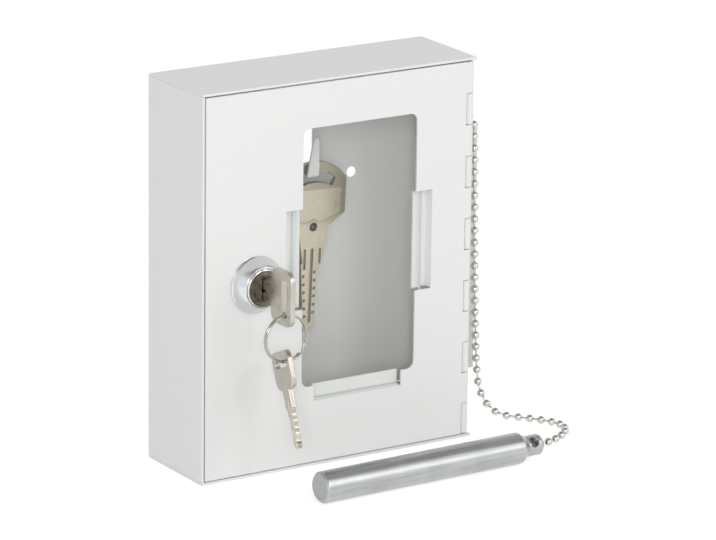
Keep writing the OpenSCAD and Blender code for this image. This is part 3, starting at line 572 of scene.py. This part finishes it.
def smooth_route(points, steps):
    """Curve through the points a, b, c, d, and so on, from b at t = 0 to c at t = 1:
    0.5 (2b + (c - a) t + (2a - 5b + 4c - d) t^2 + (3b - a - 3c + d) t^3)."""
    p = np.asarray(points, float)
    k = np.arange(len(p) - 1)
    a, b, c, d = (p[np.clip(k + n, 0, len(p) - 1)][:, None, :] for n in (-1, 0, 1, 2))
    t = (np.arange(steps) / steps)[None, :, None]
    curve = 0.5 * (2 * b + (c - a) * t + (2 * a - 5 * b + 4 * c - d) * t**2
                   + (3 * b - a - 3 * c + d) * t**3)
    return np.vstack([curve.reshape(-1, 3), p[-1:]])


def run_along(path, distances):
    """Points of a path at distances from its start, and its length."""
    run = np.concatenate([[0], np.cumsum(np.linalg.norm(np.diff(path, axis=0), axis=1))])
    return np.stack([np.interp(distances, run, path[:, n]) for n in range(3)], -1), run[-1]


def frames(directions):
    """Each direction as a unit vector, and two more square to it and to each other."""
    t = directions / np.linalg.norm(directions, axis=1, keepdims=True)
    side = np.cross(t, (0.55, -0.2, 0.81))
    side /= np.linalg.norm(side, axis=1, keepdims=True)
    return t, side, np.cross(t, side)


def repeated(profile, places, directions, steps):
    """A lathe profile repeated at each place, its axis t along each direction:
    p(u, v) = place + height(v) t + radius(v) (cos u side + sin u over)."""
    profile = np.asarray(profile, float)
    t, side, over = (x[:, None, None, :] for x in frames(directions))
    u = (np.arange(steps) * 2 * np.pi / steps)[None, None, :, None]
    r, h = profile[None, :, 0, None, None], profile[None, :, 1, None, None]
    verts = places[:, None, None, :] + h * t + r * (np.cos(u) * side + np.sin(u) * over)
    one = grid_faces(len(profile), steps)
    faces = one[None] + (np.arange(len(places)) * len(profile) * steps)[:, None, None]
    return verts.reshape(-1, 3), faces.reshape(-1, 4)


def swept(path, section, side, over):
    """A section carried along a path, and closed by a point at each end:
    p(s, u) = path(s) + section_x(u) side(s) + section_y(u) over(s)."""
    verts = (path[:, None] + section[None, :, 0, None] * side[:, None]
             + section[None, :, 1, None] * over[:, None])
    first, last = (np.repeat(path[n][None, None], len(section), 1) for n in (0, -1))
    verts = np.concatenate([first, verts, last])
    return verts.reshape(-1, 3), grid_faces(len(verts), len(section))


def rounded(node, name, radius, mat, body, segments=2):
    """A CAD node's own shape with its corners merged and its sharp edges rounded."""
    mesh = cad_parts[node].data.copy()
    mesh.name = name
    obj = finish_mesh(name, mesh, mat, body, [node], EDGE_ANGLE, flatten=True)
    bevel = obj.modifiers.new("rounded edges", "BEVEL")
    bevel.width = radius
    bevel.segments = segments
    bevel.limit_method = "ANGLE"
    bevel.angle_limit = math.radians(EDGE_ANGLE)
    bevel.use_clamp_overlap = False
    weighted = obj.modifiers.new("flat faces kept flat", "WEIGHTED_NORMAL")
    weighted.weight = 100
    weighted.keep_sharp = True
    return obj


def middle(node):
    """The middle of a node's box."""
    low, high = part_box(node)
    return (low + high) / 2


# ---------------------------------------------------------------- outlines of turned pieces

def ball_profile(sizes):
    """Half outline of a hollow ball: a circle with a rolled lip round the wire at both ends."""
    r = sizes.ball / 2
    lip = sizes.link * 1.5
    turn = math.degrees(math.asin(lip / r))
    outer = arc((0, 0), r, -90 + turn, 90 - turn, 13)
    top = r * math.cos(math.radians(turn))
    mouth = top - 0.1 * MM
    inner = np.array([(lip * 0.8, top + 0.02 * MM), (sizes.link, mouth), (0, mouth)])
    return np.vstack([inner[::-1] * (1, -1), outer, inner])


def link_profile(sizes, length):
    """Half outline of the wire between two balls, a little thinner in the middle."""
    share_of_radius = np.array([0, 1, 0.86, 1, 0])
    share_of_length = np.array([0.2, 0.32, 0.5, 0.68, 0.8])
    return np.stack([share_of_radius * sizes.link, share_of_length * length], -1)


def hinge_pin_profile(r, length):
    """Half outline of the hinge pin: a rod with a chamfer at both ends."""
    face, chamfer = r * 0.75, 0.3 * MM
    return [(0, 0), (face, 0), (r, chamfer), (r, length - chamfer), (face, length), (0, length)]


def stud_profile(reach):
    """Half outline of the chain's stud: a head at the start, a shank, and a collar with a nose,
    which are given back from the far end."""
    head = np.array([(0, 0), (2.0, 0), (2.6, 0.2), (2.8, 0.55), (2.8, 0.9), (1.5, 0.9)])
    collar = np.array([(1.5, 2), (2.3, 2), (2.4, 1.9), (2.4, 1.4), (2.1, 1.15), (1.4, 0.95),
                       (1.38, 0.15), (1.2, 0), (0, 0)])
    return np.vstack([head * MM, (0, reach) + collar * (MM, -MM)])


def rosette_profile(depth):
    """Half outline of the rosette: a rolled lip round the barrel, a flare that falls back with
    the power 1.12 of its run, a rounded rim, the flat back on the door, and the bore."""
    bore, mouth, seat = 6.3 * MM, 7.55 * MM, 1.2 * MM
    lip, rim = 0.35 * MM, 0.45 * MM
    run = np.linspace(0, 1, 12)
    flare = np.stack([np.linspace(8.42, 10.62, 12) * MM,
                      (0.5 + (depth / MM - 1.5) * run ** 1.12) * MM], -1)
    return np.vstack([
        [(mouth, seat), (mouth, 0.3 * MM), (7.62 * MM, 0.08 * MM)],
        arc((7.95 * MM, lip), lip, -110, -20, 6),
        flare,
        arc((10.55 * MM, depth - rim), rim, -35, 60, 6),
        [(10.9 * MM, depth), (bore, depth), (bore, seat), (mouth, seat)]])


def key_pin_profile(r, depth):
    """Half outline of the rolled pin in shares of its radius: a flat back, a round shoulder, and
    a lip rolled into a shallow hollow in front."""
    shoulder, lip = 0.28 * r, 0.2 * r
    return np.vstack([
        [(0, depth), (r, depth)],
        arc((0.72 * r, shoulder), shoulder, 0, -90, 7),
        arc((0.62 * r, lip), lip, -90, -180, 5),
        [(0.42 * r, 0.7 * r), (0.2 * r, 0.55 * r), (0, 0.52 * r)]])


# ---------------------------------------------------------------- pieces

class KEYBOX_OT_camera(bpy.types.Operator):
    """Place the camera where the photograph was taken from"""
    bl_idname = "keybox.camera"
    bl_label = "Camera"

    def execute(self, context):
        azimuth, elevation, roll = (math.radians(a) for a in CAMERA_TURN)
        back = Vector((math.sin(azimuth) * math.cos(elevation),
                       -math.cos(azimuth) * math.cos(elevation), math.sin(elevation)))
        level = Vector((0, 0, 1)).cross(back).normalized()
        high = back.cross(level)
        right = math.cos(roll) * level + math.sin(roll) * high
        up = -math.sin(roll) * level + math.cos(roll) * high
        data = bpy.data.cameras.new("camera")
        data.sensor_fit = "HORIZONTAL"
        data.sensor_width = SENSOR
        data.lens = FOCAL_PIXELS * SENSOR / PHOTO_WIDTH
        data.clip_start, data.clip_end = 0.05, 50
        camera = bpy.data.objects.new("camera", data)
        turn = Matrix((right, up, back)).transposed().to_4x4()
        place = (Vector(CAMERA_AIM) + back * CAMERA_DISTANCE
                 + right * CAMERA_ASIDE[0] + up * CAMERA_ASIDE[1])
        camera.matrix_world = Matrix.Translation(place) @ turn
        context.scene.collection.objects.link(camera)
        context.scene.camera = camera
        return {"FINISHED"}


class KEYBOX_OT_chain(bpy.types.Operator):
    """Make the ball chain and its last ball in the hammer: rolled balls joined by dumbbell wires"""
    bl_idname = "keybox.chain"
    bl_label = "Ball chain"

    def execute(self, context):
        sizes, finish = context.scene.keybox_sizes, context.scene.keybox_finish
        path = smooth_route(np.array(CHAIN_ROUTE) * MM, ROUTE_STEPS)
        total = run_along(path, [0])[1]
        count = int(total / sizes.pitch)
        balls, _ = run_along(path, total - np.arange(count + 1) * sizes.pitch)
        directions = np.gradient(balls, axis=0)
        mat = material("chain", lambda: chrome("chain nickel", finish.chain))
        starts = np.vstack([balls[1:], path[:1]])
        verts, faces = together(
            repeated(ball_profile(sizes), balls, directions, BALL_STEPS),
            *(repeated(link_profile(sizes, np.linalg.norm(b - a)), a[None], (b - a)[None],
                       LINK_STEPS) for a, b in zip(starts, balls)))
        chain = piece("chain_of_balls", verts, faces, mat, "case", ["ball_chain"],
                      "nickel_plate", smooth=50)
        low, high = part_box("hammer_chain_end")
        held = np.array(middle("hammer_chain_end"))
        held[0] = low[0] + sizes.ball / 2
        outward = np.array([[1.0, 0, 0]])
        verts, faces = together(
            repeated(ball_profile(sizes), held[None], outward, BALL_STEPS),
            repeated(link_profile(sizes, high[0] - held[0]), held[None], outward, LINK_STEPS))
        piece("held_ball", verts, faces, mat, "hammer", ["hammer_chain_end"],
              "nickel_plate", smooth=50)
        return {"FINISHED"}


class KEYBOX_OT_case(bpy.types.Operator):
    """Coat the folded case, its walls, hinge strip, keeper and clip, and plate the fixings"""
    bl_idname = "keybox.case"
    bl_label = "Case"

    def execute(self, context):
        sizes, finish = context.scene.keybox_sizes, context.scene.keybox_finish
        coat = material("powder", lambda: powder_coat(finish))
        zinc = material("zinc", lambda: zinc_plate(finish))
        for node, name, radius in (("case_shell", "folded_case", sizes.fold),
                                   ("left_wall", "wall_left", sizes.fold),
                                   ("right_wall", "wall_right", sizes.fold),
                                   ("lock_keeper", "keeper_angle", sizes.edge),
                                   ("hinge_strip", "case_hinge", sizes.edge),
                                   ("hammer_holder", "hammer_clip", sizes.edge)):
            rounded(node, name, radius, coat, "case")
        low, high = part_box("hinge_pin")
        x, y = (low[0] + high[0]) / 2, (low[1] + high[1]) / 2
        profile = hinge_pin_profile((high[0] - low[0]) / 2, high[2] - low[2])
        piece("pin_of_hinge", *lathe(profile, (x, y, low[2]), steps=32, axis=(0, 0, 1)), zinc,
              "case", ["hinge_pin"], "zinc_steel")
        rounded("holder_rivets", "clip_rivets", FIXING_EDGE, zinc, "case")
        low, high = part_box("chain_anchor")
        _, y, z = middle("chain_anchor")
        profile = stud_profile(high[0] - low[0])
        piece("chain_stud", *lathe(profile, (low[0], y, z), steps=40, axis=(1, 0, 0)), zinc,
              "case", ["chain_anchor"], "zinc_steel", smooth=35)
        return {"FINISHED"}


class KEYBOX_OT_door(bpy.types.Operator):
    """Coat the door sheet and put the glass behind its tabs"""
    bl_idname = "keybox.door"
    bl_label = "Door"

    def execute(self, context):
        sizes, finish = context.scene.keybox_sizes, context.scene.keybox_finish
        coat = material("powder", lambda: powder_coat(finish))
        rounded("door_panel", "door_sheet", sizes.edge, coat, "door")
        pane = material("glass", lambda: float_glass(finish, *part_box("glass_pane")))
        rounded("glass_pane", "glass", PANE_EDGE, pane, "door", segments=1)
        return {"FINISHED"}


class KEYBOX_OT_lock(bpy.types.Operator):
    """Turn the rosette and plate the cam lock"""
    bl_idname = "keybox.lock"
    bl_label = "Lock"

    def execute(self, context):
        sizes, finish = context.scene.keybox_sizes, context.scene.keybox_finish
        low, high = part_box("lock_rosette")
        x, y, z = middle("lock_rosette")
        trim = material("rosette", lambda: chrome("rosette chrome", finish.chrome, (x, y, z)))
        zinc = material("zinc", lambda: zinc_plate(finish))
        face = material("lock face", lambda: lock_face(finish, (x, y, z)))
        profile = rosette_profile(high[1] - low[1])
        piece("rosette", *lathe(profile, (x, low[1], z), sizes.around), trim, "door",
              ["lock_rosette"], "bright_chrome", smooth=35)
        rounded("lock_housing", "lock_barrel", BARREL_EDGE, face, "door")
        rounded("lock_nut", "barrel_nut", NUT_EDGE, zinc, "door")
        rounded("lock_plug", "plug", PLUG_EDGE, face, "lock core")
        rounded("lock_cam", "cam", sizes.metal_edge, zinc, "lock core")
        rounded("cam_washer", "washer", FIXING_EDGE, zinc, "lock core")
        rounded("cam_screw", "screw", FIXING_EDGE, zinc, "lock core")
        return {"FINISHED"}


class KEYBOX_OT_keys(bpy.types.Operator):
    """Plate the two lock keys and wind the split ring"""
    bl_idname = "keybox.keys"
    bl_label = "Lock keys and ring"

    def execute(self, context):
        sizes, finish = context.scene.keybox_sizes, context.scene.keybox_finish
        plate = material("nickel", lambda: nickel(finish, "key nickel", along=(0, 1, 0)))
        rounded("lock_key", "key_in_lock", LOCK_KEY_EDGE, plate, "inserted key")
        hanging = material("hanging",
                           lambda: nickel(finish, "hanging key nickel", along=(0, 0, 1)))
        rounded("spare_key", "key_on_ring", LOCK_KEY_EDGE, hanging, "hanging key")
        ring = material("ring", lambda: chrome("ring nickel", finish.ring))
        piece("split_ring", *split_ring(sizes.wire), ring, "ring", ["key_ring"],
              "nickel_plate", smooth=60)
        return {"FINISHED"}


def split_ring(thickness):
    """Flattened wire wound nearly twice round the box of the key ring: p(a) = centre + radius
    (cos a, 0, sin a) + offset (0, 2 e(a) - 1, 0), where e eases from 0 to 1 at the step to the
    second turn. Its section is x = |cos u|^0.8, y = 0.98 |sin u|^0.8 with their signs."""
    low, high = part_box("key_ring")
    centre = np.array(middle("key_ring"))
    half = thickness / 2
    radius = (high[0] - low[0]) / 2 - half
    offset = (high[1] - low[1]) / 2 - half
    angle = np.radians(np.linspace(*RING_WIRE, RING_POINTS))
    step = np.clip((np.degrees(angle) - RING_STEP) / RING_STEP_LENGTH, 0, 1)
    shift = offset * (2 * step * step * (3 - 2 * step) - 1)
    around = angle - math.radians(RING_TURNED)
    outward = np.stack([np.cos(around), 0 * around, np.sin(around)], -1)
    along_y = np.tile((0.0, 1.0, 0.0), (len(angle), 1))
    path = centre + radius * outward + shift[:, None] * along_y
    u = np.linspace(0, 2 * np.pi, 17)[:-1]
    section = half * np.stack([np.sign(np.cos(u)) * np.abs(np.cos(u)) ** 0.8,
                               0.98 * np.sign(np.sin(u)) * np.abs(np.sin(u)) ** 0.8], -1)
    return swept(path, section, outward, along_y)


class KEYBOX_OT_emergency_key(bpy.types.Operator):
    """Finish the emergency key on the hook and roll the dark pin in it"""
    bl_idname = "keybox.emergency_key"
    bl_label = "Emergency key"

    def execute(self, context):
        finish = context.scene.keybox_finish
        x, _, z = (float(c) for c in middle("emergency_key_pin"))
        low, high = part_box("emergency_key")
        silver = material("silver", lambda: nickel_silver(finish, float(low[1]), float(high[1]), z))
        rounded("emergency_key", "key_for_emergency", EMERGENCY_KEY_EDGE, silver, "hooked key")
        low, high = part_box("emergency_key_pin")
        r = float(high[0] - low[0]) / 2
        black = material("black", lambda: blackened(finish, (x, 0, z), r))
        profile = key_pin_profile(r, high[1] - low[1])
        piece("key_pin", *lathe(profile, (x, low[1], z), steps=40), black, "hooked key",
              ["emergency_key_pin"], "dark_pin")
        return {"FINISHED"}


class KEYBOX_OT_hammer(bpy.types.Operator):
    """Turn and polish the hammer rod"""
    bl_idname = "keybox.hammer"
    bl_label = "Hammer"

    def execute(self, context):
        finish = context.scene.keybox_finish
        steel = material("steel", lambda: turned_steel(finish))
        rounded("hammer_rod", "rod", ROD_EDGE, steel, "hammer", segments=3)
        return {"FINISHED"}


# ---------------------------------------------------------------- studio

class KEYBOX_OT_stage(bpy.types.Operator):
    """Lay the pale floor and set up the soft lamps and the surround"""
    bl_idname = "keybox.stage"
    bl_label = "Studio"

    def execute(self, context):
        studio = context.scene.keybox_studio
        mesh = bpy.data.meshes.new("floor")
        mesh.from_pydata(FLOOR_CORNERS, [], [(0, 1, 2, 3)])
        floor = bpy.data.objects.new("floor", mesh)
        context.scene.collection.objects.link(floor)
        mesh.materials.append(floor_paint(studio))
        for power, name, size, place in LAMPS:
            lamp(name, getattr(studio, power), size, place)
        surround(context.scene, studio)
        context.scene.view_settings.view_transform = "Standard"
        return {"FINISHED"}


def lamp(name, power, size, place):
    """A soft box of a width and height at a place, aimed at the middle of the object."""
    data = bpy.data.lights.new(name, "AREA")
    data.shape = "RECTANGLE"
    data.energy, data.size, data.size_y = power, *size
    obj = bpy.data.objects.new(name, data)
    obj.location = place
    obj.rotation_mode = "QUATERNION"
    obj.rotation_quaternion = (Vector(LAMP_AIM) - Vector(place)).to_track_quat("-Z", "Y")
    bpy.context.scene.collection.objects.link(obj)


def sum_node(tree, kind, a, b):
    """One step of sums with two sockets."""
    node = tree.nodes.new("ShaderNodeMath")
    node.operation = kind
    tree.links.new(a, node.inputs[0])
    tree.links.new(b, node.inputs[1])
    return node.outputs[0]


def ranged_node(tree, value, start, end):
    """A value between the two of start brought to between the two of end."""
    node = tree.nodes.new("ShaderNodeMapRange")
    tree.links.new(value, node.inputs["Value"])
    for key, number in zip(("From Min", "From Max", "To Min", "To Max"), (*start, *end)):
        node.inputs[key].default_value = number
    return node.outputs[0]


def seen_rays(tree):
    """1 for rays that show the background to the eye, in metal or through glass."""
    path = tree.nodes.new("ShaderNodeLightPath").outputs
    seen = sum_node(tree, "MAXIMUM", path["Is Camera Ray"], path["Is Glossy Ray"])
    return sum_node(tree, "MAXIMUM", seen, path["Is Transmission Ray"])


def floor_paint(studio):
    """Matt pale paint with faint mottle, lifted to white where it is seen, so that only the
    shadow shows."""
    s = Shade("pale floor", studio.floor, 0, 0.75, specular=0.1)
    mottle = s.noise(s.place, scale=9, detail=3)
    s.colour(s.tint(mottle, shaded(studio.floor, 0.99), studio.floor))
    s.rough(s.ranged(mottle, 0.7, 0.8))
    glow = s.maths("MULTIPLY", seen_rays(s.tree), FLOOR_GLOW)
    s.tree.links.new(glow, s.shader.inputs["Emission Strength"])
    s.shader.inputs["Emission Color"].default_value = (1, 1, 1, 1)
    return s.material


def surround(scene, studio):
    """White where it is seen at eye level and a softer light elsewhere, both dimmer overhead, and
    the seen one more so."""
    world = bpy.data.worlds.new("surround")
    scene.world = world
    world.use_nodes = True
    tree = world.node_tree
    background = next(n for n in tree.nodes if n.type == "BACKGROUND")
    background.inputs["Color"].default_value = (1, 1, 1, 1)
    direction = tree.nodes.new("ShaderNodeSeparateXYZ")
    tree.links.new(tree.nodes.new("ShaderNodeTexCoord").outputs["Generated"], direction.inputs[0])
    seen = seen_rays(tree)
    level = ranged_node(tree, seen, (0, 1), (studio.world, 1))
    overhead = ranged_node(tree, direction.outputs["Z"], OVERHEAD, (1, studio.sky))
    dimmed = sum_node(tree, "POWER", overhead,
                      ranged_node(tree, seen, (0, 1), (1, DEEPER_SEEN)))
    tree.links.new(sum_node(tree, "MULTIPLY", level, dimmed), background.inputs["Strength"])


# ---------------------------------------------------------------- panel and run

class KEYBOX_PT_panel(bpy.types.Panel):
    """Pieces, sizes, finishes and studio of the key box"""
    bl_label = "Key Box"
    bl_idname = "KEYBOX_PT_panel"
    bl_space_type = "VIEW_3D"
    bl_region_type = "UI"
    bl_category = "Key Box"

    def draw(self, context):
        column = self.layout.column(align=True)
        for operator in OPERATORS:
            column.operator(operator.bl_idname)
        for attribute, settings in SETTINGS.items():
            for name in settings.__annotations__:
                self.layout.prop(getattr(context.scene, attribute), name)


SETTINGS = {"keybox_sizes": KeyBoxSizes, "keybox_finish": KeyBoxFinish,
            "keybox_studio": KeyBoxStudio}
OPERATORS = (KEYBOX_OT_camera, KEYBOX_OT_chain, KEYBOX_OT_case, KEYBOX_OT_door, KEYBOX_OT_lock,
             KEYBOX_OT_keys, KEYBOX_OT_emergency_key, KEYBOX_OT_hammer, KEYBOX_OT_stage)
CLASSES = (*SETTINGS.values(), *OPERATORS, KEYBOX_PT_panel)


def register():
    """Registers the classes and hangs the settings on the scene."""
    for cls in CLASSES:
        bpy.utils.register_class(cls)
    for attribute, settings in SETTINGS.items():
        setattr(bpy.types.Scene, attribute, PointerProperty(type=settings))


def unregister():
    """Takes the settings off the scene and the classes out."""
    for attribute in SETTINGS:
        delattr(bpy.types.Scene, attribute)
    for cls in reversed(CLASSES):
        bpy.utils.unregister_class(cls)


def main():
    """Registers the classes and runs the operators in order."""
    register()
    for operator in OPERATORS:
        group, name = operator.bl_idname.split(".")
        getattr(getattr(bpy.ops, group), name)()
    bpy.context.view_layer.update()


if __name__ == "__main__":
    main()
